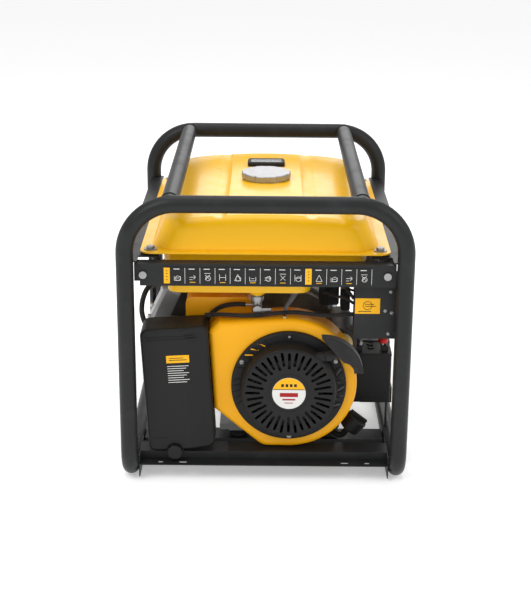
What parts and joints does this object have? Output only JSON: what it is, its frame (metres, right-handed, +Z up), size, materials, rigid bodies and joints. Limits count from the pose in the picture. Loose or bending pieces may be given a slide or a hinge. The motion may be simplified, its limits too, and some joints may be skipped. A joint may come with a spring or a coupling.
{
  "type": "portable generator",
  "caption": "Open-frame portable petrol generator with a tank over a slanted single-cylinder engine, recoil starter, alternator, battery and side control panel.",
  "frame": {"origin": "middle of the footprint on the floor", "axes": "+X towards the control panel side, +Y from the recoil starter towards the alternator, +Z up"},
  "size_m": [0.5456, 0.688, 0.562],
  "materials": {
    "black_frame": "satin powder coat",
    "tank_yellow": "gloss",
    "shroud_yellow": "satin",
    "zinc": "zinc plated",
    "zinc_yellow": "yellow passivated zinc",
    "cast_aluminium": "as cast",
    "steel": "machined",
    "cast_iron": "cast",
    "black_plastic": "matt moulded",
    "black_rubber": "matt",
    "label": "printed",
    "clear": "clear",
    "red_plastic": "gloss",
    "chrome": "polished",
    "foam": "open foam",
    "copper": "varnished windings",
    "hot_steel": "matt heat paint",
    "socket_blue": "gloss",
    "rope": "braided"
  },
  "bodies": {
    "frame": {"front_hoop": "black_frame", "rear_hoop": "black_frame", "bottom_rail_left": "black_frame", "bottom_rail_right": "black_frame", "top_tubes": "black_frame", "tank_rails": "black_frame", "front_crossmember": "black_frame", "rear_crossmember": "black_frame", "mount_beams": "black_frame", "front_plate": "black_frame", "instruction_plate": "label", "tank_upper": "tank_yellow", "tank_lower": "tank_yellow", "fuel_gauge": "black_plastic", "gauge_lens": "clear", "fuel_tap": "zinc", "fuel_hose": "black_rubber", "crankcase": "cast_aluminium", "cylinder_head": "cast_aluminium", "rocker_cover": "zinc", "spark_plug": "steel", "piston": "cast_aluminium", "carburettor": "cast_aluminium", "starter_motor": "zinc_yellow", "oil_filler": "black_plastic", "fan_shroud": "shroud_yellow", "recoil_housing": "black_plastic", "air_box_base": "black_plastic", "air_filter": "foam", "alternator_housing": "cast_aluminium", "stator": "copper", "alternator_cover": "black_plastic", "muffler": "hot_steel", "control_box": "black_frame", "control_panel": "black_plastic", "panel_fittings": "black_plastic", "battery": "black_plastic", "battery_tray": "black_frame", "wiring_harness": "black_rubber", "breather_hose": "black_rubber", "rubber_mounts": "black_rubber", "fasteners": "zinc"},
    "crank": {"crankshaft": "steel", "flywheel": "cast_iron", "rotor": "steel"},
    "recoil_pulley": {"recoil_pulley": "black_plastic", "recoil_rope": "rope"},
    "recoil_grip": {"recoil_grip": "black_rubber"},
    "cap_seal": {"cap_seal": "black_rubber"},
    "fuel_cap": {"fuel_cap": "chrome"},
    "fuel_tap_lever": {"fuel_tap_lever": "zinc"},
    "choke_lever": {"choke_lever": "black_plastic"},
    "air_box_cover": {"air_box_cover": "black_plastic"},
    "air_box_knob": {"air_box_knob": "black_plastic"},
    "oil_cap": {"oil_cap": "black_plastic"},
    "gauge_pointer": {"gauge_pointer": "red_plastic"},
    "socket_lid_front": {"socket_lid_front": "socket_blue"},
    "socket_lid_rear": {"socket_lid_rear": "socket_blue"},
    "breaker_toggle": {"breaker_toggle": "red_plastic"},
    "key_switch": {"key_switch": "steel"}
  },
  "joints": [
    {"name": "crank_turn", "type": "hinge", "parent": "frame", "child": "crank", "pos_m": [0.046, 0, 0.182], "axis": [0, 1, 0], "continuous": true},
    {"name": "recoil_pull", "type": "slide", "parent": "frame", "child": "recoil_grip", "axis": [0.4501, -0.8803, 0.15], "range_m": [0, 0.6], "stiffness_N_per_m": 30, "springref_m": -0.5},
    {"name": "recoil_pulley_turn", "type": "hinge", "parent": "frame", "child": "recoil_pulley", "pos_m": [0.046, 0, 0.182], "axis": [0, 1, 0], "range_deg": [0, 620]},
    {"name": "cap_lift", "type": "slide", "parent": "frame", "child": "cap_seal", "axis": [0, 0, 1], "range_m": [0, 0.06]},
    {"name": "fuel_cap_turn", "type": "hinge", "parent": "cap_seal", "child": "fuel_cap", "pos_m": [0, 0.02, 0.515], "axis": [0, 0, 1], "range_deg": [0, 90]},
    {"name": "fuel_tap_turn", "type": "hinge", "parent": "frame", "child": "fuel_tap_lever", "pos_m": [-0.0145, -0.255, 0.323], "axis": [0, -1, 0], "range_deg": [0, 90]},
    {"name": "choke_turn", "type": "hinge", "parent": "frame", "child": "choke_lever", "pos_m": [-0.1583, -0.215, 0.28523], "axis": [0, 0, 1], "range_deg": [-60, 0]},
    {"name": "air_cover_slide", "type": "slide", "parent": "frame", "child": "air_box_cover", "axis": [0, -1, 0], "range_m": [0, 0.12]},
    {"name": "air_knob_turn", "type": "hinge", "parent": "air_box_cover", "child": "air_box_knob", "pos_m": [-0.16978, -0.306, 0.0539], "axis": [0, -1, 0], "continuous": true},
    {"name": "oil_cap_slide", "type": "slide", "parent": "frame", "child": "oil_cap", "axis": [0.6134, -0.0438, 0.7886], "range_m": [0, 0.04]},
    {"name": "gauge_pointer_turn", "type": "hinge", "parent": "frame", "child": "gauge_pointer", "pos_m": [0, 0.133, 0.515], "axis": [0, 0, 1], "range_deg": [-40, 40]},
    {"name": "socket_lid_front_turn", "type": "hinge", "parent": "frame", "child": "socket_lid_front", "pos_m": [0.2566, 0.012, 0.365], "axis": [0, -1, 0], "range_deg": [0, 100], "stiffness_Nm_per_rad": 0.05, "springref_deg": -28.65},
    {"name": "socket_lid_rear_turn", "type": "hinge", "parent": "frame", "child": "socket_lid_rear", "pos_m": [0.2566, 0.092, 0.365], "axis": [0, -1, 0], "range_deg": [0, 100], "stiffness_Nm_per_rad": 0.05, "springref_deg": -28.65},
    {"name": "breaker_toggle_turn", "type": "hinge", "parent": "frame", "child": "breaker_toggle", "pos_m": [0.256, -0.158, 0.334], "axis": [0, -1, 0], "range_deg": [0, 45]},
    {"name": "key_turn", "type": "hinge", "parent": "frame", "child": "key_switch", "pos_m": [0.25, -0.262, 0.334], "axis": [1, 0, 0], "range_deg": [0, 75]}
  ],
  "couplings": [
    {"joint": "recoil_pulley_turn", "follows": "recoil_pull", "rad_per_m": 17.544}
  ]
}
